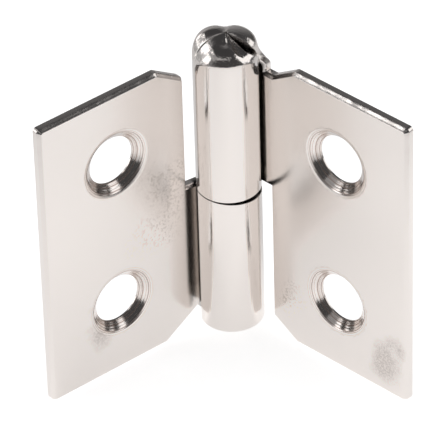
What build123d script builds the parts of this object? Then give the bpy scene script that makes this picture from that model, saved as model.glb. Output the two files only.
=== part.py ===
from build123d import *
import math
import os

os.makedirs("parts", exist_ok=True)

# Driving dimensions, in millimetres and degrees. Heights are from the leaves' mid-height.
leaf_height = 40.0  # bottom edge to top edge of a leaf
leaf_reach = 25.0  # pin axis to a leaf's outer edge
sheet = 1.25  # steel sheet that both leaves are blanked from
corner_radius = 0.5  # outer corners of the leaves
open_angle = 99.0  # between the two countersunk faces, as the hinge stands

pin_diameter = 5.2
pin_clearance = 0.04  # radial gap between the pin and the rolled knuckles
pin_recess = 0.4  # pin's lower end up from the lower knuckle's end
pin_headroom = 0.3  # pin's upper end down from the crown's shoulder
pin_chamfer = 0.5

joint_height = 1.74  # plane where the upper knuckle bears on the lower one
joint_slope = 5.0  # off-square cut of the lower knuckle's upper end
foot_inset = 2.3  # leaf's bottom edge up to the lower knuckle's end
fixed_seam_gap = 1.2  # free edge of the lower roll to its own leaf
lift_seam_gap = 0.42  # free edge of the upper roll to its own leaf
notch_clearance = 0.2  # inner edge of each leaf's notched half to the other knuckle

slope_start = 7.9  # pin axis to where the end edges begin to slope
slope_angle = 32.5  # slope of the end edges towards the barrel
slope_radius = 0.6  # corner between the slope and the notched half's inner edge
foot_tab_reach = 2.3  # pin axis to the side of the lower knuckle's tab
crown_tab_reach = 3.5  # pin axis to the side of the upper knuckle's tab
crown_tab_top = 1.3  # pin axis to the top of that side, where the tab is crimped in
crown_tab_step = 0.7  # straight part of that side, above the relief
relief_reach = 4.65  # pin axis to the foot of the slope, where a short flat relieves the tab

crown_stand = 0.7  # crown's shoulder above the leaf's top edge
crown_rise = 3.0  # shoulder to apex
crown_seam = 0.95  # open seam of the crown at its shoulder
crown_seam_apex = 0.12  # the same seam at the apex
dent_depth = 0.38  # hollows pressed into the crown by the front and rear jaws
dent_radius = 1.3
crease_depth = 0.5  # tight crease opposite the open seam
crease_angle = 50.0  # angle between the crease's two flanks

hole_diameter = 6.2
hole_spacing = 20.5
hole_from_pin = 14.35
hole_land = 0.25  # straight wall left at the back face
countersink_angle = 100.0
countersink_lip = 1.2  # rounding where the countersink meets the front face

# Worked-out sizes
bore_radius = pin_diameter / 2 + pin_clearance
barrel_radius = bore_radius + sheet
notch_reach = barrel_radius + notch_clearance
leaf_top = leaf_height / 2
leaf_bottom = -leaf_top
slope_rise = math.tan(math.radians(slope_angle))
lower_end = leaf_bottom + foot_inset
shoulder = leaf_top + crown_stand
apex = shoulder + crown_rise
crown_radius = (barrel_radius**2 + crown_rise**2) / (2 * crown_rise)
crown_centre = apex - crown_radius
beyond = 2 * barrel_radius  # how far cutters run past what they cut


def sloping_edge_inset(reach):
    """Height lost from a leaf's end edge, at a distance from the pin axis."""
    return (slope_start - reach) * slope_rise


def plate(points, rounded):
    """Flat part of a leaf along +X, its back face tangent to the barrel at y = barrel_radius.

    rounded maps the index of an outline point to its corner radius."""
    outline = make_face(Polyline(*points, close=True))
    for index, radius in rounded.items():
        corner = outline.vertices().sort_by_distance(Vector(*points[index], 0))[0]
        outline = fillet(corner, radius)
    back = Plane(origin=(0, barrel_radius, 0), x_dir=(1, 0, 0), z_dir=(0, -1, 0))
    return extrude(back * outline, sheet)


def rolled_knuckle(bottom, top, seam_gap):
    """Tab rolled round the pin, from the tangent line at the back to its free edge."""
    free_edge = math.degrees(math.asin((bore_radius - seam_gap) / barrel_radius))
    wrap = 270 + free_edge
    outside = CenterArc((0, 0), barrel_radius, 90, wrap)
    inside = CenterArc((0, 0), bore_radius, 90, wrap)
    root = Line(outside @ 0, inside @ 0)
    free_end = Line(outside @ 1, inside @ 1)
    section = make_face([outside, inside, root, free_end])
    return Pos(0, 0, bottom) * extrude(section, top - bottom)


def screw_holes():
    """Two countersunk holes, widest at the front face, with a rounded lip."""
    cone_depth = sheet - hole_land
    rim = hole_diameter / 2 + cone_depth * math.tan(math.radians(countersink_angle / 2))
    past_lip = rim + 2 * countersink_lip
    profile = make_face(
        Polyline(
            (0, -sheet),
            (past_lip, -sheet),
            (past_lip, 0),
            (rim, 0),
            (hole_diameter / 2, cone_depth),
            (hole_diameter / 2, 2 * sheet),
            (0, 2 * sheet),
            close=True,
        )
    )
    lip = profile.vertices().sort_by_distance(Vector(rim, 0, 0))[0]
    profile = fillet(lip, countersink_lip)
    cutter = revolve(profile, Axis.Y)
    front = Pos(hole_from_pin, bore_radius, 0)
    return [front * Pos(0, 0, side * hole_spacing / 2) * cutter for side in (-1, 1)]


def crown():
    """Crimped end of the upper knuckle: a domed wall, split and creased by four jaws."""
    rim_drop = shoulder - crown_centre
    rim_angle = math.degrees(math.asin(rim_drop / crown_radius))
    inner_radius = crown_radius - sheet
    inner_angle = math.degrees(math.asin(rim_drop / inner_radius))
    outside = CenterArc((0, crown_centre), crown_radius, rim_angle, 90 - rim_angle)
    inside = CenterArc((0, crown_centre), inner_radius, inner_angle, 90 - inner_angle)
    rim = Line(outside @ 0, inside @ 0)
    middle = Line(outside @ 1, inside @ 1)
    dome = revolve(Plane.XZ * make_face([outside, inside, rim, middle]), Axis.Z)

    # Each cutter lies along the straight line from the apex to the shoulder.
    chord = math.hypot(barrel_radius, crown_rise)
    fall = math.degrees(math.atan2(crown_rise, barrel_radius))
    bulge = crown_radius - math.sqrt(crown_radius**2 - (chord / 2) ** 2)
    chord_middle = Pos(barrel_radius / 2, 0, shoulder + crown_rise / 2) * Rot(0, fall, 0)

    dent = chord_middle * Pos(0, 0, bulge - dent_depth + dent_radius)
    dent = dent * Rot(0, 90, 0) * Cylinder(dent_radius, 2 * chord)
    for jaw in (seam_heading - 90, seam_heading + 90):
        dome -= Rot(0, 0, jaw) * dent

    half_width = beyond * math.tan(math.radians(crease_angle / 2))
    flanks = make_face(Polyline((0, 0), (half_width, beyond), (-half_width, beyond), close=True))
    crease = chord_middle * Pos(0, 0, bulge - crease_depth)
    crease = crease * (Plane.YZ * extrude(flanks, chord, both=True))
    dome -= Rot(0, 0, seam_heading + 180) * crease

    seam = make_face(
        Polyline(
            (-crown_seam_apex, crown_seam_apex / 2),
            (barrel_radius, crown_seam / 2),
            (beyond, crown_seam / 2),
            (beyond, -crown_seam / 2),
            (barrel_radius, -crown_seam / 2),
            (-crown_seam_apex, -crown_seam_apex / 2),
            close=True,
        )
    )
    slit = Pos(0, 0, shoulder - beyond) * extrude(seam, 2 * beyond)
    return dome - Rot(0, 0, seam_heading) * slit


# The crown's open seam starts at the free edge of the upper roll.
half_seam = math.degrees(math.asin(crown_seam / 2 / barrel_radius))
seam_heading = math.degrees(math.asin((bore_radius - lift_seam_gap) / barrel_radius)) + half_seam

# Fixed leaf: notched above the joint, with the lower knuckle rolled from its lower half.
notch_top = leaf_top - sloping_edge_inset(notch_reach)
foot_dip = leaf_bottom + sloping_edge_inset(foot_tab_reach)
fixed_leaf = plate(
    [
        (0, lower_end),
        (foot_tab_reach, lower_end),
        (foot_tab_reach, foot_dip),
        (slope_start, leaf_bottom),
        (leaf_reach, leaf_bottom),
        (leaf_reach, leaf_top),
        (slope_start, leaf_top),
        (notch_reach, notch_top),
        (notch_reach, joint_height),
        (0, joint_height),
    ],
    {4: corner_radius, 5: corner_radius, 7: slope_radius},
)
fixed_leaf += rolled_knuckle(lower_end, joint_height, fixed_seam_gap)
fixed_leaf -= screw_holes()
bearing_cut = Box(4 * beyond, 4 * beyond, beyond, align=(Align.MAX, Align.CENTER, Align.MIN))
fixed_leaf -= Pos(barrel_radius, 0, joint_height) * Rot(0, -joint_slope, 0) * bearing_cut
fixed_leaf = mirror(fixed_leaf, Plane.YZ)

# Lift-off leaf: notched below the joint, with the upper knuckle and its crimped crown.
notch_bottom = leaf_bottom + sloping_edge_inset(notch_reach)
relief_height = leaf_top - sloping_edge_inset(relief_reach)
lift_off_leaf = plate(
    [
        (0, joint_height),
        (notch_reach, joint_height),
        (notch_reach, notch_bottom),
        (slope_start, leaf_bottom),
        (leaf_reach, leaf_bottom),
        (leaf_reach, leaf_top),
        (slope_start, leaf_top),
        (relief_reach, relief_height),
        (crown_tab_reach, relief_height),
        (crown_tab_reach, relief_height + crown_tab_step),
        (crown_tab_top, shoulder),
        (0, shoulder),
    ],
    {2: slope_radius, 4: corner_radius, 5: corner_radius},
)
lift_off_leaf += rolled_knuckle(joint_height, shoulder, lift_seam_gap)
lift_off_leaf += crown()
lift_off_leaf -= screw_holes()
lift_off_leaf = Rot(0, 0, open_angle - 180) * lift_off_leaf

# Pin: a plain rod, chamfered at both ends.
pin_bottom = lower_end + pin_recess
pin_top = shoulder - pin_headroom
hinge_pin = Cylinder(
    pin_diameter / 2, pin_top - pin_bottom, align=(Align.CENTER, Align.CENTER, Align.MIN)
)
hinge_pin = chamfer(hinge_pin.edges().filter_by(GeomType.CIRCLE), pin_chamfer)
hinge_pin = Pos(0, 0, pin_bottom) * hinge_pin

# The origin is midway between the fixed leaf's screw holes, on its back face.
to_origin = Pos(hole_from_pin, -barrel_radius, 0)
pieces = {"fixed_leaf": fixed_leaf, "lift_off_leaf": lift_off_leaf, "hinge_pin": hinge_pin}
for name, piece in pieces.items():
    export_step(to_origin * piece, f"parts/{name}.step")
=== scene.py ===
import math

import bmesh
import bpy
from mathutils import Matrix, Vector, noise
from mathutils.geometry import delaunay_2d_cdt


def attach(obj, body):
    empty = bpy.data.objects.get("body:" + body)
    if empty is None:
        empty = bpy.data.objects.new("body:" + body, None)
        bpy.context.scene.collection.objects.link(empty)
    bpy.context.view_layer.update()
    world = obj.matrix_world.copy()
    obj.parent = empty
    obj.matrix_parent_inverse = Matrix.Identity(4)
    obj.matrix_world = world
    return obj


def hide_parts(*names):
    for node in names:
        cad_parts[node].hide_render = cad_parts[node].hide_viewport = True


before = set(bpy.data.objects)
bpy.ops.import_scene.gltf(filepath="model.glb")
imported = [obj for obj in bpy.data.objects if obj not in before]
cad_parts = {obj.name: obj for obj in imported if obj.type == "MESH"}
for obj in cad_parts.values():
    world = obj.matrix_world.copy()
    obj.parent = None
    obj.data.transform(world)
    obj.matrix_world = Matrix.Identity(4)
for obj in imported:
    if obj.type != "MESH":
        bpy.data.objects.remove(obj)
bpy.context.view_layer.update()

# Fixed leaf, with the lower knuckle: one blank of 1.25 mm steel sheet, sheared on a press, two screw
# holes countersunk into its front, and its tab rolled forwards round the pin. Bright nickel plate
# covers all of it, cut edges too. The frame it hangs on is screwed to its flat back face.
mm = 0.001  # in metres; the sizes below are in millimetres
sheet = 1.25
bore_radius = 2.64
barrel_radius = bore_radius + sheet
hole_from_pin = 14.35
hole_height = 10.25
hole_radius = 3.1
hole_land = 0.25
hole_points = 96
countersink_half_angle = math.radians(50.0)
countersink_lip = 1.2
pin_axis = Vector((hole_from_pin, -barrel_radius, 0.0))
leaf_reach = 25.0
leaf_top = 20.0
leaf_corner = 0.5
slope_start = 7.9
slope_rise = math.tan(math.radians(32.5))
slope_corner = 0.6
notch_clearance = 0.2
notch_reach = barrel_radius + notch_clearance
joint_height = 1.74
joint_slope = math.tan(math.radians(6.0))
joint_gap = 0.08
joint_blend = 6.0
lower_end = -17.7
foot_tab_reach = 2.3
fixed_wrap = math.radians(291.7)
roll_over = 0.30
roll_over_lean = math.radians(35.0)
break_depth = 0.5
front_corner = 0.07
back_corner = 0.07
cut_fade = 0.04
ripple_top = 0.2
ripple_bottom = 0.8
wander_scale = 0.9
wander_seed = 7.0
wander_depth = 0.10
corner_points = 7
outline_step = 0.4
# Shares of the sheet's thickness, from its front, that count as the inside of the roll, which takes
# painted shade near the pin.
leaf_inner_share = 0.1
seam_inner_share = 0.5
roll_inner_share = 0.89
inner_blend = 0.09
roll_fade = (2.5, -1.0)
crown_fade = (20.3, 21.0)
leaf_roughness = 0.19
roll_roughness = 0.10
nickel_colour = (0.80, 0.752, 0.72, 1.0)
sheared_colour = (0.70, 0.66, 0.64, 1.0)
# Near-black painted shade for the inside of the roll, the leaf beside it and the crown's seam.
roll_shade_colour = (0.014, 0.012, 0.010, 1.0)
stain_colour = (0.56, 0.51, 0.48, 1.0)
burnt_colour = (0.44, 0.28, 0.21, 1.0)
speckle_colour = (0.50, 0.43, 0.38, 1.0)


def smoothstep(low, high, value):
    """Smooth ramp from 0 at low to 1 at high."""
    t = min(max((value - low) / (high - low), 0.0), 1.0)
    return t * t * (3.0 - 2.0 * t)


def spread(start, end, count):
    """Evenly spaced values from start to end, both included."""
    return [start + (end - start) * k / (count - 1) for k in range(count - 1)] + [end]


def rounded_outline(corners):
    """Outline points of a blank; a corner is (reach, height, radius) and the ends stay sharp."""
    points = []
    for k, (p, z, radius) in enumerate(corners):
        here = Vector((p, z))
        if not radius:
            points.append(here)
            continue
        back = (Vector(corners[k - 1][:2]) - here).normalized()
        ahead = (Vector(corners[k + 1][:2]) - here).normalized()
        half = back.angle(ahead) / 2.0
        centre = here + (back + ahead).normalized() * radius / math.sin(half)
        start = here + back * radius / math.tan(half) - centre
        end = here + ahead * radius / math.tan(half) - centre
        for step in spread(0.0, 1.0, corner_points):
            points.append(centre + start.lerp(end, step).normalized() * radius)
    fine = []
    for here, ahead in zip(points, points[1:]):
        steps = max(2, round((ahead - here).length / outline_step) + 1)
        fine += [here.lerp(ahead, share) for share in spread(0.0, 1.0, steps)[:-1]]
    return fine + points[-1:]


def edge_profile():
    """(inset, depth) of a sheared edge: die roll-over from the front, then the break to the back."""
    turns = [math.radians(a) for a in (0, 30, 60, 90)]
    corner = front_corner / math.cos(roll_over_lean)
    profile = []
    for a in turns[:-1]:
        profile.append((roll_over + corner * (1 - math.sin(a)), corner * (1 - math.cos(a))))
    profile.append((roll_over, corner))
    profile.append((roll_over * 0.5, corner + (break_depth - corner) * 0.5))
    profile.append((roll_over * 0.06, break_depth - 0.04))
    profile.append((0.0, break_depth + 0.02))
    profile.append((0.0, sheet - back_corner))
    for a in turns[-2::-1]:
        profile.append((back_corner * (1 - math.sin(a)), sheet - back_corner * (1 - math.cos(a))))
    return profile


def countersink_profile():
    """(radius, depth, turned) of a screw hole, from the front face to the back face."""
    rim = hole_radius + (sheet - hole_land) * math.tan(countersink_half_angle)
    turn = math.pi / 2 - countersink_half_angle
    start = rim + countersink_lip * math.tan(turn / 2)
    rings = []
    for a in spread(0.0, turn, 7):
        lip = (start - countersink_lip * math.sin(a), countersink_lip * (1 - math.cos(a)))
        rings.append((*lip, a / turn))
    low = rings[-1]
    for share in (0.33, 0.66, 0.96):
        radius = low[0] + (hole_radius - low[0]) * share
        depth = low[1] + (sheet - hole_land - low[1]) * share
        rings.append((radius, depth, 1.0))
    rings.append((hole_radius, sheet - hole_land + 0.03, 0.5))
    rings.append((hole_radius, sheet - back_corner, 0.0))
    rings.append((hole_radius + 0.3 * back_corner, sheet - 0.3 * back_corner, 0.0))
    rings.append((hole_radius + back_corner, sheet, 0.0))
    return rings


def outward_mitres(loop):
    """Mitred outward directions of a closed outline that is walked anticlockwise."""
    mitres = []
    for k, here in enumerate(loop):
        before = (here - loop[k - 1]).normalized()
        after = (loop[(k + 1) % len(loop)] - here).normalized()
        n1 = Vector((before.y, -before.x))
        n2 = Vector((after.y, -after.x))
        mitres.append((n1 + n2) / (1.0 + n1.dot(n2)))
    return mitres


def rolled_sheet(name, columns, rows, join, leaf_outline, place, shut_height):
    """Mesh of one blank with its tab rolled: a grid for the tab, a filled outline for the leaf.

    columns and rows are the tab's grid in the flat blank, join the two rows between which the leaf
    starts, and place turns (reach, height, depth from the front) into the finished shape. Above
    shut_height the tab's side is shut away in a seam, so there all but the back of the sheet counts as
    the inside of the roll and takes its painted shade."""
    last = len(columns) - 1
    top = len(rows) - 1
    low, high = rows.index(join[0]), rows.index(join[1])
    ring = [(i, 0) for i in range(last + 1)] + [(last, j) for j in range(1, low + 1)]
    ring += leaf_outline
    ring += [(last, j) for j in range(high, top + 1)] + [(i, top) for i in range(last - 1, -1, -1)]
    ring += [(0, j) for j in range(top - 1, 0, -1)]
    flat = [p if isinstance(p, Vector) else Vector((columns[p[0]], rows[p[1]])) for p in ring]
    mitres = outward_mitres(flat)

    mesh = bmesh.new()
    layers = {key: mesh.verts.layers.float.new(key) for key in ("cut", "reach", "turned", "inside")}
    broad = set()

    def vertex(p, z, w, cut=0.0, turned=0.0):
        made = mesh.verts.new(place(p, z, w) * mm)
        made[layers["cut"]] = cut
        made[layers["reach"]] = p
        made[layers["turned"]] = turned
        near_seam = smoothstep(shut_height - 3.0, shut_height - 2.4, z)
        inner_share = leaf_inner_share + (seam_inner_share - leaf_inner_share) * near_seam
        if p < columns[-1] - 0.3 or z > shut_height:
            inner_share = roll_inner_share
        outer = smoothstep(inner_share - inner_blend, inner_share + inner_blend, w / sheet)
        made[layers["inside"]] = 1.0 - outer
        return made

    def bridge(one, other):
        for k in range(len(one)):
            n = (k + 1) % len(one)
            mesh.faces.new((one[k], one[n], other[n], other[k]))

    profile = edge_profile()
    wander = []
    for p in flat:
        spot = (p.x * wander_scale, p.y * wander_scale, wander_seed)
        wander.append(noise.noise(spot) * wander_depth)
    loops = []
    for inset, depth in profile:
        cut = smoothstep(0.0, cut_fade, depth) * smoothstep(0.0, cut_fade, sheet - depth)
        ripple = smoothstep(ripple_top, break_depth, depth)
        ripple *= 1.0 - smoothstep(break_depth, ripple_bottom, depth)
        loops.append(
            [
                vertex(*(p - m * inset), depth + ripple * shift, cut)
                for p, m, shift in zip(flat, mitres, wander)
            ]
        )
    for one, other in zip(loops, loops[1:]):
        bridge(one, other)

    holes = []
    turns = spread(0.0, 2 * math.pi, hole_points + 1)[:-1]
    for side in (-1, 1):
        rings = []
        for radius, depth, turned in countersink_profile():
            rings.append(
                [
                    vertex(
                        hole_from_pin + radius * math.cos(a),
                        side * hole_height + radius * math.sin(a),
                        depth,
                        turned=turned,
                    )
                    for a in turns
                ]
            )
        for one, other in zip(rings, rings[1:]):
            bridge(one, other)
        holes.append(rings)

    for face, (inset, depth) in ((0, profile[0]), (-1, profile[-1])):
        at = {cell: v for cell, v in zip(ring, loops[face]) if not isinstance(cell, Vector)}
        for i in range(last + 1):
            for j in range(top + 1):
                if (i, j) not in at:
                    at[i, j] = vertex(columns[i], rows[j], depth)
        for i in range(last):
            for j in range(top):
                broad.add(mesh.faces.new((at[i, j], at[i + 1, j], at[i + 1, j + 1], at[i, j + 1])))
        start = ring.index((last, low))
        border = list(range(start, start + len(leaf_outline) + 2))
        points = [flat[k] - mitres[k] * inset for k in border]
        verts = [loops[face][k] for k in border]
        for j in range(high - 1, low, -1):
            points.append(Vector((columns[last], rows[j])))
            verts.append(at[last, j])
        edges = [(k, (k + 1) % len(points)) for k in range(len(points))]
        hole_edge = countersink_profile()[face][0]
        for side, rings in zip((-1, 1), holes):
            first = len(points)
            for a, v in zip(turns, rings[face]):
                rim = (hole_edge * math.cos(a), side * hole_height + hole_edge * math.sin(a))
                points.append(Vector((hole_from_pin + rim[0], rim[1])))
                verts.append(v)
            count = len(turns)
            edges += [(first + k, first + (k + 1) % count) for k in range(count)]
        filled = delaunay_2d_cdt(points, edges, [], 1, 1e-6)
        for triangle in filled[2]:
            middle = sum((filled[0][k] for k in triangle), Vector((0.0, 0.0))) / 3.0
            centre = Vector((hole_from_pin, math.copysign(hole_height, middle.y)))
            if (middle - centre).length > hole_edge - 0.02:
                broad.add(mesh.faces.new([verts[filled[3][k][0]] for k in triangle]))

    bmesh.ops.recalc_face_normals(mesh, faces=mesh.faces)
    normals = []
    for v in mesh.verts:
        faces = [face for face in v.link_faces if face in broad] or v.link_faces
        leaning = sum((face.normal * face.calc_area() for face in faces), Vector())
        normals.append(leaning.normalized())
    data = bpy.data.meshes.new(name)
    mesh.to_mesh(data)
    mesh.free()
    data.shade_smooth()
    data.normals_split_custom_set_from_vertices(normals)
    piece = bpy.data.objects.new(name, data)
    bpy.context.scene.collection.objects.link(piece)
    return piece


def node(tree, kind, inputs=None, **settings):
    """Adds a shader node; an input is a value, or another node's socket to link from."""
    made = tree.nodes.new(kind)
    for key, value in settings.items():
        setattr(made, key, value)
    for key, value in (inputs or {}).items():
        if isinstance(value, bpy.types.NodeSocket):
            tree.links.new(value, made.inputs[key])
        else:
            made.inputs[key].default_value = value
    return made


def calculate(tree, operation, *values):
    """Result of a sum on values or sockets."""
    return node(tree, "ShaderNodeMath", dict(enumerate(values)), operation=operation).outputs[0]


def measure(tree, operation, one, other):
    """Distance between two places, or dot product of two directions."""
    return node(tree, "ShaderNodeVectorMath", {0: one, 1: other}, operation=operation).outputs["Value"]


def ramp(tree, value, start, end, low=0.0, high=1.0):
    """Straight ramp from low at start to high at end, level beyond both."""
    limits = {"Value": value, "From Min": start, "From Max": end, "To Min": low, "To Max": high}
    return node(tree, "ShaderNodeMapRange", limits).outputs[0]


def mixed(tree, factor, one, other):
    """Colour that goes from one to the other as factor rises; each is a colour or a socket."""
    return node(tree, "ShaderNodeMix", {"Factor": factor, 6: one, 7: other}, data_type="RGBA").outputs[2]


def effect(name, inputs, outputs):
    """Shader node group with the named (socket type, default) inputs and outputs."""
    tree = bpy.data.node_groups.new(name, "ShaderNodeTree")
    for key, (kind, default) in inputs.items():
        socket = tree.interface.new_socket(key, in_out="INPUT", socket_type=kind)
        if default is not None:
            socket.default_value = default
    for key, kind in outputs.items():
        tree.interface.new_socket(key, in_out="OUTPUT", socket_type=kind)
    return tree, tree.nodes.new("NodeGroupInput").outputs, tree.nodes.new("NodeGroupOutput").inputs


def plating_grain():
    """Orange peel, fine mottle and slow drift of electroplated nickel, each as a height round 0.5."""
    number = "NodeSocketFloat"
    tree, given, result = effect(
        "plating_grain",
        {"Vector": ("NodeSocketVector", None)},
        {"Peel": number, "Mottle": number, "Drift": number},
    )
    grains = (("Peel", 3600.0, 0.0), ("Mottle", 4500.0, 1.0), ("Drift", 260.0, 3.0))
    for key, scale, detail in grains:
        look = {"Vector": given["Vector"], "Scale": scale, "Detail": detail}
        made = node(tree, "ShaderNodeTexNoise", look)
        tree.links.new(made.outputs["Fac"], result[key])
    return tree


def sheared_edge():
    """Torn mask and broken streaks of a sheared edge."""
    number = "NodeSocketFloat"
    tree, given, result = effect(
        "sheared_edge",
        {"Vector": ("NodeSocketVector", None), "Cut": (number, 0.0)},
        {"Torn": number, "Streaks": number},
    )
    look = {"Vector": given["Vector"], "Scale": 900.0, "Detail": 3.0}
    streaks = node(tree, "ShaderNodeTexNoise", look).outputs["Fac"]
    torn = calculate(tree, "MULTIPLY", ramp(tree, streaks, 0.50, 0.75), given["Cut"])
    tree.links.new(torn, result["Torn"])
    tree.links.new(streaks, result["Streaks"])
    return tree


def tool_marks():
    """Height of the countersinking tool's rings round both holes, and of drawn lines along the roll."""
    number = "NodeSocketFloat"
    tree, given, result = effect(
        "tool_marks",
        {"Vector": ("NodeSocketVector", None), "Reach": (number, 0.0)},
        {"Rings": number, "Lines": number},
    )
    high = node(tree, "ShaderNodeSeparateXYZ", {"Vector": given["Vector"]}).outputs["Z"]
    high = calculate(tree, "MULTIPLY", high, 1.0 / mm)
    up = calculate(tree, "SUBTRACT", calculate(tree, "ABSOLUTE", high), hole_height)
    out = calculate(tree, "SUBTRACT", given["Reach"], hole_from_pin)
    from_hole = node(tree, "ShaderNodeCombineXYZ", {"X": out, "Y": up}).outputs[0]
    radius = node(tree, "ShaderNodeVectorMath", {0: from_hole}, operation="LENGTH").outputs["Value"]
    ring_look = {"W": radius, "Scale": 6.0, "Detail": 2.0}
    rings = node(tree, "ShaderNodeTexNoise", ring_look, noise_dimensions="1D")
    low = calculate(tree, "MULTIPLY", high, 0.03)
    along = node(tree, "ShaderNodeCombineXYZ", {"X": given["Reach"], "Y": low}).outputs[0]
    line_look = {"Vector": along, "Scale": 3.5, "Detail": 3.0}
    lines = node(tree, "ShaderNodeTexNoise", line_look, noise_dimensions="2D")
    tree.links.new(rings.outputs["Fac"], result["Rings"])
    tree.links.new(lines.outputs["Fac"], result["Lines"])
    return tree


def nickel_plate(name, peel_patches, stains, roll_shade_reach):
    """Bright nickel plate: semi-gloss leaves, a polished roll, peel and stains at (centre, radius).

    The inside of the roll is painted near-black as shade, from its free edge to the given reach past the
    pin: painted shade and dark reflection of the crevice round the pin and of the crown's seam."""
    material = bpy.data.materials.new(name)
    material.use_nodes = True
    tree = material.node_tree
    shader = tree.nodes["Principled BSDF"]

    def attribute(key):
        return node(tree, "ShaderNodeAttribute", attribute_name=key).outputs["Fac"]

    def group(make, inputs):
        shared = bpy.data.node_groups.get(make.__name__) or make()
        used = node(tree, "ShaderNodeGroup", {}, node_tree=shared)
        for key, value in inputs.items():
            tree.links.new(value, used.inputs[key])
        return used.outputs

    place = node(tree, "ShaderNodeTexCoord").outputs["Object"]
    reach = attribute("reach")
    grain = group(plating_grain, {"Vector": place})
    short_of_end = ramp(tree, reach, leaf_reach - 0.2, leaf_reach - 0.7)
    cut = calculate(tree, "MULTIPLY", attribute("cut"), short_of_end)
    edge = group(sheared_edge, {"Vector": place, "Cut": cut})
    marks = group(tool_marks, {"Vector": place, "Reach": reach})
    roll = ramp(tree, reach, *roll_fade)
    level = node(tree, "ShaderNodeSeparateXYZ", {"Vector": place}).outputs["Z"]
    crown = ramp(tree, level, crown_fade[0] * mm, crown_fade[1] * mm)
    below_crown = calculate(tree, "SUBTRACT", 1.0, crown)
    turned = attribute("turned")
    front_face = attribute("inside")
    # Painted shade and dark reflection: near-black inside the roll and on the leaf's front beside it, up
    # to the given reach.
    near_roll = ramp(tree, reach, roll_shade_reach + 0.15, roll_shade_reach - 0.15)
    painted_roll_shade = calculate(tree, "MULTIPLY", near_roll, front_face)

    def blotches(spots):
        """Mask of ragged spots at the given (centre, radius)."""
        total = 0.0
        for centre, radius in spots:
            off = measure(tree, "DISTANCE", place, centre)
            drift = calculate(tree, "MULTIPLY_ADD", grain["Drift"], 2.4 * radius, off)
            spot = ramp(tree, drift, 2.2 * radius, 1.4 * radius)
            total = calculate(tree, "MAXIMUM", spot, total)
        return total

    peel = calculate(tree, "MULTIPLY", blotches(peel_patches), front_face)
    stain = calculate(tree, "MULTIPLY", blotches(stains), front_face)

    colour = mixed(tree, edge["Torn"], nickel_colour, sheared_colour)
    stained = calculate(tree, "MULTIPLY", stain, ramp(tree, grain["Mottle"], 0.35, 0.6, 0.45, 1.0))
    colour = mixed(tree, stained, colour, stain_colour)
    speckle = calculate(tree, "MULTIPLY", peel, ramp(tree, grain["Peel"], 0.55, 0.65, 0.0, 0.4))
    colour = mixed(tree, speckle, colour, speckle_colour)
    burnt = calculate(tree, "MULTIPLY", turned, ramp(tree, marks["Rings"], 0.48, 0.62, 0.0, 0.7))
    colour = mixed(tree, burnt, colour, burnt_colour)
    tree.links.new(calculate(tree, "MULTIPLY_ADD", burnt, -0.6, 1.0), shader.inputs["Metallic"])
    colour = mixed(tree, painted_roll_shade, colour, roll_shade_colour)
    tree.links.new(colour, shader.inputs["Base Color"])

    rough = ramp(tree, roll, 0.0, 1.0, leaf_roughness, roll_roughness)
    rough = calculate(tree, "MULTIPLY_ADD", turned, -0.09, rough)
    rough = calculate(tree, "MULTIPLY_ADD", edge["Torn"], 0.10, rough)
    rough = calculate(tree, "MULTIPLY_ADD", crown, 0.03, rough)
    rough = calculate(tree, "MULTIPLY_ADD", grain["Mottle"], 0.05, rough)
    tree.links.new(rough, shader.inputs["Roughness"])

    heights = (
        (grain["Peel"], calculate(tree, "MULTIPLY_ADD", peel, 0.8, 0.2), 2.5),
        (grain["Mottle"], crown, 26.0),
        (marks["Lines"], calculate(tree, "MULTIPLY", roll, below_crown), 16.0),
        (marks["Rings"], turned, 24.0),
        (edge["Streaks"], edge["Torn"], 12.0),
    )
    normal = None
    for height, strength, microns in heights:
        bump = node(
            tree, "ShaderNodeBump", {"Height": height, "Strength": strength, "Distance": microns * 1e-6}
        )
        if normal:
            tree.links.new(normal, bump.inputs["Normal"])
        normal = bump.outputs["Normal"]
    tree.links.new(normal, shader.inputs["Normal"])
    return material


def on_roll(p, z, w):
    """Point of a blank whose tab is rolled round the pin; the leaf stays flat along +X."""
    r = bore_radius + w
    if p >= 0:
        return Vector((p, r, z))
    angle = math.pi / 2 - p / barrel_radius
    return Vector((r * math.cos(angle), r * math.sin(angle), z))


def place_fixed(p, z, w):
    """Finished place of a point of the fixed leaf.

    The upper end of its knuckle is cut a few degrees off square."""
    point = on_roll(p, z, w)
    share = smoothstep(joint_height - joint_blend, joint_height, z)
    point.z -= (joint_gap + max(barrel_radius - point.x, 0.0) * joint_slope) * share
    return Vector((-point.x, point.y, point.z)) + pin_axis


foot_dip = -leaf_top + (slope_start - foot_tab_reach) * slope_rise
notch_top = leaf_top - (slope_start - notch_reach) * slope_rise
fixed_outline = rounded_outline(
    [
        (slope_start, -leaf_top, 0),
        (leaf_reach, -leaf_top, leaf_corner),
        (leaf_reach, leaf_top, leaf_corner),
        (slope_start, leaf_top, 0),
        (notch_reach, notch_top, slope_corner),
        (notch_reach, joint_height, 0),
    ]
)
fixed_columns = spread(-fixed_wrap * barrel_radius, 0.0, 97) + spread(0.0, foot_tab_reach, 5)[1:]
fixed_rows = [lower_end, foot_dip] + spread(foot_dip, joint_height, 12)[1:]
fixed_leaf = rolled_sheet(
    "fixed_leaf_sheet",
    fixed_columns,
    fixed_rows,
    (foot_dip, joint_height),
    fixed_outline,
    place_fixed,
    joint_height,
)
knuckle_peel = [((0.0072, -0.0012, 0.0028), 0.0055), ((0.0052, -0.0012, -0.0015), 0.0045)]
foot_stain = [((-0.004, -0.0012, -0.013), 0.003)]
fixed_leaf.data.materials.append(
    nickel_plate("nickel_plate_fixed_leaf", knuckle_peel, foot_stain, roll_shade_reach=2.9)
)
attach(fixed_leaf, "fixed")
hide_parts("fixed_leaf")

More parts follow.
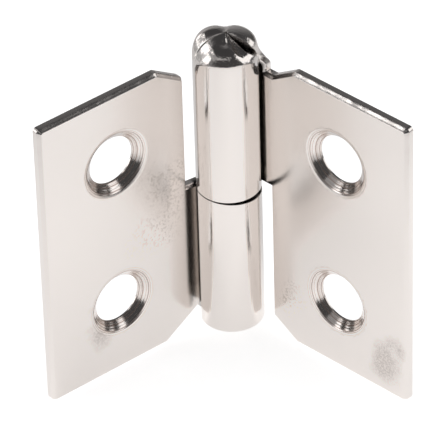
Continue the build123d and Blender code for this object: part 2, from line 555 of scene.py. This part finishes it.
# Hinge pin: a plain rod of drawn steel, chamfered at both ends and pushed into the rolled knuckles.
# Only its lower end and a sliver in the joint show, unless the other leaf is lifted off.
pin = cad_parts["hinge_pin"]
pin_colour = (0.50, 0.45, 0.41, 1.0)
pin_steel = bpy.data.materials.new("drawn_pin_steel")
pin_steel.use_nodes = True
pin_tree = pin_steel.node_tree
pin_shader = pin_tree.nodes["Principled BSDF"]
pin_shader.inputs["Metallic"].default_value = 1.0
pin_shader.inputs["Base Color"].default_value = pin_colour
pin_place = node(pin_tree, "ShaderNodeTexCoord").outputs["Object"]
pin_grain = (6000.0, 6000.0, 90.0)
drawn = node(pin_tree, "ShaderNodeMapping", {"Vector": pin_place, "Scale": pin_grain}).outputs[0]
drawn = node(pin_tree, "ShaderNodeTexNoise", {"Vector": drawn, "Scale": 1.0, "Detail": 2.0})
drawn = drawn.outputs["Fac"]
pin_rough = ramp(pin_tree, drawn, 0.0, 1.0, 0.16, 0.36)
pin_tree.links.new(pin_rough, pin_shader.inputs["Roughness"])
pin_bump = node(pin_tree, "ShaderNodeBump", {"Strength": 0.4, "Distance": 0.00001, "Height": drawn})
pin_tree.links.new(pin_bump.outputs["Normal"], pin_shader.inputs["Normal"])
pin.data.materials.clear()
pin.data.materials.append(pin_steel)

# Lift-off leaf, with the upper knuckle: the same sheet, notched the other way round. Four jaws crimp
# the end of its roll into a dome, which leaves an open seam on the leaf's side, a tight crease across
# from it, and a hollow in front and behind. The door or lid is screwed to its flat back face.
open_turn = Matrix.Rotation(math.radians(-81.0), 3, "Z")
lift_wrap = math.radians(304.8)
crown_tab_reach = 3.5
relief_reach = 4.65
shoulder = 20.7
apex = 23.6
crown_arc = 5.1
crown_close = 0.985
crown_kink = math.radians(14.0)
crease_at = math.radians(240.0)
seam_at = math.radians(43.0)
seam_gap = math.radians(11.0)
seam_swing = math.radians(24.0)
edge_set_back = math.radians(-2.0)
lobe_edge_from = math.radians(285.0)
crimp_level = 20.45
crimp_front_rise = 0.9
crimp_front_width = math.radians(50.0)
crimp_tab_level = 18.7
lobe_bend = 2.3
crease_bend = 1.7
crease_bend_width = math.radians(32.0)
crease_depth = 0.16
crease_width = 0.1
crease_side = 1.6
lobe_fullness = 0.92
corner_fullness = 0.2
left_corner_at = math.radians(193.0)
right_corner_at = math.radians(62.0)
front_hollow_at = math.radians(313.0)
front_hollow_width = math.radians(33.0)
front_hollow_depth = 0.36
back_hollow_at = math.radians(133.0)
back_hollow_width = math.radians(20.0)
back_hollow_depth = 0.32
tab_tuck_from = 2.9
tab_tuck = 0.20
lip_flare_from = math.radians(318.0)
lip_flare_full = math.radians(386.0)
lip_flare = 0.30
relief_height = leaf_top - (slope_start - relief_reach) * slope_rise
notch_bottom = -leaf_top + (slope_start - notch_reach) * slope_rise


def bell(value, centre, width):
    """Smooth hump of height 1 at centre."""
    return math.exp(-(((value - centre) / width) ** 2))


def shoulder_height(p, angle):
    """Height at which the crimp starts: highest in front, lowest at the leaf's own tab."""
    off_front = (angle - front_hollow_at) / crimp_front_width
    level = crimp_level + crimp_front_rise * math.exp(-(off_front**4))
    return level + (crimp_tab_level - level) * smoothstep(-0.6, 2.6, p)


def crown_heading(p, share):
    """Heading of a blank's column on the crown; the two lobes' edges swing forward as they rise."""
    swing = seam_swing * smoothstep(0.0, 0.55, share)
    if p >= 0:
        along = p / crown_tab_reach
        return math.pi / 2 - (math.pi / 2 - seam_at) * along - swing * along**2
    angle = math.pi / 2 - p / barrel_radius
    near = smoothstep(lobe_edge_from, math.pi / 2 + lift_wrap, angle)
    closing = seam_at - seam_gap * (2.0 - 1.4 * share) + 2 * math.pi - math.pi / 2 - lift_wrap
    closing = edge_set_back + (closing - edge_set_back) * smoothstep(0.0, 0.3, share)
    return angle + (closing - swing) * near


def front_lobe(share, start, bend_radius):
    """(squeeze, height) of the front lobe: a rounded shoulder, then straight to the apex."""
    low, high = crown_kink, math.radians(88.0)
    for _ in range(18):
        bend = (low + high) / 2.0
        reach = barrel_radius - bend_radius * (math.cos(crown_kink) - math.cos(bend))
        height = start + bend_radius * (math.sin(bend) - math.sin(crown_kink))
        if reach / math.tan(bend) > apex - height:
            low = bend
        else:
            high = bend
    bent = 0.25 + 0.1 * bend_radius
    climb = max(share - bent, 0.0) / (1.0 - bent)
    here = crown_kink + (bend - crown_kink) * min(share / bent, 1.0)
    reach = barrel_radius - bend_radius * (math.cos(crown_kink) - math.cos(here))
    height = start + bend_radius * (math.sin(here) - math.sin(crown_kink))
    return reach * (1.0 - climb) / barrel_radius, height + (apex - height) * climb


def back_lobe(share, start, fullness):
    """(squeeze, height) of the back lobe: a full round, squarer than a sphere where fullness is low."""
    slope = math.pi / 2 * share**1.25
    squeeze = math.cos(slope) ** fullness
    return squeeze, start + (apex - start) * math.sin(slope) ** fullness


def place_lift(p, z, w):
    """Finished place of a point of the lift-off leaf, with the crimped crown above the shoulder."""
    point = on_roll(p, z, w)
    if p > crown_tab_reach:
        return open_turn @ point + pin_axis
    angle = crown_heading(p, 0.0)
    start = shoulder_height(p, angle)
    if relief_height < z <= shoulder:
        if p < 0:
            turn = math.pi / 2 - p / barrel_radius
            turn += (angle - turn) * smoothstep(shoulder - 2.0, shoulder, z)
            point = Vector((math.cos(turn), math.sin(turn), 0.0)) * (bore_radius + w)
        climb = (z - relief_height) * (start - relief_height)
        point.z = relief_height + climb / (shoulder - relief_height)
    elif z > shoulder:
        share = crown_close * (z - shoulder) / crown_arc
        heading = crown_heading(p, share)
        corners = bell(angle, left_corner_at, 0.6) + bell(angle, right_corner_at, 0.65)
        risen = start + (shoulder_height(-1.0, angle) - start) * smoothstep(0.0, 0.45, share)
        back = back_lobe(share, risen, lobe_fullness - corner_fullness * corners)
        bend_radius = lobe_bend + crease_bend * bell(angle, crease_at, crease_bend_width)
        front = front_lobe(share, start, bend_radius)
        away = (angle - crease_at) * barrel_radius * max(back[0], 0.12)
        in_front = smoothstep(-crease_side, 0.0, away)
        squeeze = back[0] + (front[0] - back[0]) * in_front
        height = back[1] + (front[1] - back[1]) * in_front
        round_place = Vector((math.cos(heading), math.sin(heading))) * (bore_radius + w)
        rounding = smoothstep(0.0, 0.27, share) if p >= 0 else 1.0
        across = Vector((point.x, point.y)).lerp(round_place, rounding) * squeeze
        point = Vector((across.x, across.y, height - (sheet - w) * (height - start) / (apex - start)))
        inward = crease_depth * bell(away, 0.0, crease_width) * smoothstep(0.0, 0.25, share)
        front_hollow = bell(angle, front_hollow_at, front_hollow_width)
        inward += front_hollow_depth * front_hollow * bell(share, 0.66, 0.22)
        back_hollow = bell(angle, back_hollow_at, back_hollow_width)
        inward += back_hollow_depth * back_hollow * math.sin(math.pi * share)
        tucked = smoothstep(tab_tuck_from, crown_tab_reach, p) ** 2
        inward += tab_tuck * tucked * smoothstep(0.05, 0.2, share) * w / sheet
        flared = smoothstep(lip_flare_from, lip_flare_full, angle)
        inward -= lip_flare * flared * bell(share, 0.36, 0.24)
        slope = crown_kink + share * (math.pi / 2 - crown_kink)
        flat = across.normalized() * math.cos(slope)
        point -= Vector((flat.x, flat.y, math.sin(slope))) * inward
    return open_turn @ point + pin_axis


lift_outline = rounded_outline(
    [
        (notch_reach, joint_height, 0),
        (notch_reach, notch_bottom, slope_corner),
        (slope_start, -leaf_top, 0),
        (leaf_reach, -leaf_top, leaf_corner),
        (leaf_reach, leaf_top, leaf_corner),
        (slope_start, leaf_top, 0),
        (relief_reach, relief_height, 0),
    ]
)
crease_p = -(crease_at - math.pi / 2) * barrel_radius
lift_columns = (
    spread(-lift_wrap * barrel_radius, crease_p - 0.5, 61)
    + spread(crease_p - 0.5, crease_p + 0.5, 26)[1:]
    + spread(crease_p + 0.5, 0.0, 42)[1:]
    + spread(0.0, crown_tab_reach, 22)[1:]
)
lift_rows = (
    spread(joint_height, relief_height, 10)
    + spread(relief_height, shoulder - 0.2, 7)[1:]
    + [shoulder - 0.08, shoulder, shoulder + 0.08]
    + spread(shoulder + 0.2, shoulder + crown_arc, 30)
)
lift_leaf = rolled_sheet(
    "lift_off_leaf_sheet",
    lift_columns,
    lift_rows,
    (joint_height, relief_height),
    lift_outline,
    place_lift,
    shoulder + 0.6,
)
notch_peel = [(place_lift(6.7, -13.8, 0.0) * mm, 0.0032)]
corner_stains = [
    (place_lift(22.3, -16.2, 0.0) * mm, 0.0031),
    (place_lift(24.0, -12.5, 0.0) * mm, 0.0018),
]
lift_leaf.data.materials.append(
    nickel_plate("nickel_plate_lift_off_leaf", notch_peel, corner_stains, roll_shade_reach=3.3)
)
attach(lift_leaf, "lift_off")
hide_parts("lift_off_leaf")

# Floor: a plain white table that the leaves' lower edges stand on. It is white to the eye and takes a
# faint shadow. In the plate's reflections it glows with painted light, brightest beside the hinge with
# painted shade behind it, and greyer the further it lies from the hinge.
floor_height = -20.02
across_view = (0.788, -0.616, 0.0)
along_view = (0.616, 0.788, 0.0)
far_level = 0.25
seen_level = 0.8
floor_mesh = bmesh.new()
bmesh.ops.create_circle(floor_mesh, cap_ends=True, segments=96, radius=0.2)
floor_data = bpy.data.meshes.new("floor")
floor_mesh.to_mesh(floor_data)
floor_mesh.free()
floor = bpy.data.objects.new("floor", floor_data)
floor.location.z = floor_height * mm
bpy.context.scene.collection.objects.link(floor)
floor_white = bpy.data.materials.new("white_table")
floor_white.use_nodes = True
floor_tree = floor_white.node_tree
floor_shader = floor_tree.nodes["Principled BSDF"]
floor_shader.inputs["Base Color"].default_value = (0.86, 0.86, 0.86, 1.0)
floor_shader.inputs["Roughness"].default_value = 0.9
floor_shader.inputs["Specular IOR Level"].default_value = 0.0
floor_shader.inputs["Emission Color"].default_value = (1.0, 1.0, 1.0, 1.0)
rays = node(floor_tree, "ShaderNodeLightPath").outputs
on_floor = node(floor_tree, "ShaderNodeTexCoord").outputs["Object"]
from_pin = measure(floor_tree, "DISTANCE", on_floor, pin_axis * mm)
sideways = measure(floor_tree, "DOT_PRODUCT", on_floor, across_view)
depth_in = measure(floor_tree, "DOT_PRODUCT", on_floor, along_view)
# Painted light and shade in the floor's glow for reflections: a pool beside the hinge, darker behind the
# hinge and a little in front, fading to the far level further off.
near = ramp(floor_tree, sideways, -0.02, 0.02, 0.66, 0.78)
behind = ramp(floor_tree, depth_in, 0.006, 0.02, 1.0, 0.45)
near = calculate(floor_tree, "MULTIPLY", near, behind)
front = ramp(floor_tree, depth_in, -0.012, -0.04, 1.0, 0.92)
near = calculate(floor_tree, "MULTIPLY", near, front)
fall = ramp(floor_tree, from_pin, 0.06, 0.11)
level = node(floor_tree, "ShaderNodeMix", {"Factor": fall, 2: near, 3: far_level}).outputs[0]
mirrored = calculate(floor_tree, "MAXIMUM", rays["Is Glossy Ray"], rays["Is Transmission Ray"])
mirrored = calculate(floor_tree, "MULTIPLY", mirrored, level)
glow = calculate(floor_tree, "MULTIPLY_ADD", rays["Is Camera Ray"], seen_level, mirrored)
floor_tree.links.new(glow, floor_shader.inputs["Emission Strength"])
floor.data.materials.append(floor_white)

# Studio: a backdrop that is white to the eye. In the plate's reflections the room is dark, and grey
# behind the hinge, with seven soft boxes in it; a key lamp lights without a reflection of its own.
room_back = (-0.26, 0.966, 0.0)
room_dark = (0.06, 0.06, 0.061, 1.0)
room_grey = (0.42, 0.42, 0.425, 1.0)
ceiling_colour = (0.05, 0.05, 0.052, 1.0)
backdrop_colour = (1.0, 1.0, 1.0, 1.0)
towards_camera = -128.0
world = bpy.data.worlds.new("studio")
bpy.context.scene.world = world
world.use_nodes = True
sky = world.node_tree
sky.nodes.clear()
around = node(sky, "ShaderNodeTexCoord").outputs["Generated"]
height = node(sky, "ShaderNodeSeparateXYZ", {"Vector": around}).outputs["Z"]
depth = measure(sky, "DOT_PRODUCT", around, room_back)
room = node(sky, "ShaderNodeValToRGB", {"Fac": depth})
room.color_ramp.elements[0].position = 0.0
room.color_ramp.elements[0].color = room_dark
room.color_ramp.elements[1].position = 0.9
room.color_ramp.elements[1].color = room_grey
shade = node(
    sky,
    "ShaderNodeMapRange",
    {"Value": height, "From Min": 0.20, "From Max": 0.85},
    interpolation_type="SMOOTHSTEP",
)
sweep = mixed(sky, shade.outputs[0], room.outputs["Color"], ceiling_colour)
rays = node(sky, "ShaderNodeLightPath").outputs
seen = calculate(sky, "MAXIMUM", rays["Is Camera Ray"], rays["Is Transmission Ray"])
white = mixed(sky, seen, sweep, backdrop_colour)
background = node(sky, "ShaderNodeBackground", {"Color": white, "Strength": 1.0})
node(sky, "ShaderNodeOutputWorld", {"Surface": background.outputs[0]})


def soft_box(name, heading, height, size, power, distance=0.6):
    """Lamp of a (width, height) aimed at the hinge; its heading counts from the camera to the right."""
    lamp = bpy.data.lights.new(name, "AREA")
    lamp.shape = "RECTANGLE"
    lamp.size, lamp.size_y = size
    lamp.energy = power
    box = bpy.data.objects.new(name, lamp)
    turn = math.radians(heading + towards_camera)
    rise = math.radians(height)
    away = Vector((math.cos(turn) * math.cos(rise), math.sin(turn) * math.cos(rise), math.sin(rise)))
    box.location = pin_axis * mm + away * distance
    box.rotation_euler = away.to_track_quat("Z", "Y").to_euler()
    bpy.context.scene.collection.objects.link(box)
    return box


soft_box("left_soft_box", -84.0, 13.0, (0.37, 0.32), 0.53)
soft_box("side_soft_box", -123.0, 22.0, (0.26, 0.23), 0.27)
soft_box("upper_soft_box", -93.0, 50.0, (0.12, 0.07), 0.07)
soft_box("right_soft_box", 86.5, 23.5, (0.60, 0.53), 1.15)
soft_box("dim_soft_box", -80.0, 42.0, (0.98, 0.34), 0.26, 0.66)
soft_box("low_soft_box", 118.0, 6.5, (0.16, 0.14), 0.034)
soft_box("front_soft_box", -12.0, 46.0, (0.35, 0.14), 0.06)
key = soft_box("key_lamp", -120.0, 50.0, (0.6, 0.6), 1.0, 0.7)
key.visible_glossy = False

# Camera: a long lens from above and in front, at the photograph's viewing angle.
view_height = math.radians(38.157)
view_heading = math.radians(-37.989)
view_roll = math.radians(-1.611)
view_distance = 0.562236
view_target = Vector((0.013725, -0.003152, -0.004177))
back = Vector(
    (
        math.sin(view_heading) * math.cos(view_height),
        -math.cos(view_heading) * math.cos(view_height),
        math.sin(view_height),
    )
)
level = Vector((math.cos(view_heading), math.sin(view_heading), 0.0))
upright = back.cross(level)
right = level * math.cos(view_roll) + upright * math.sin(view_roll)
up = upright * math.cos(view_roll) - level * math.sin(view_roll)
lens = bpy.data.cameras.new("camera")
lens.lens = 385.8
lens.sensor_width = 36.0
lens.clip_start = 0.01
lens.clip_end = 10.0
camera = bpy.data.objects.new("camera", lens)
turn = Matrix((right, up, back)).transposed().to_4x4()
camera.matrix_world = Matrix.Translation(view_target + back * view_distance) @ turn
bpy.context.scene.collection.objects.link(camera)
bpy.context.scene.camera = camera
bpy.context.scene.view_settings.view_transform = "Standard"
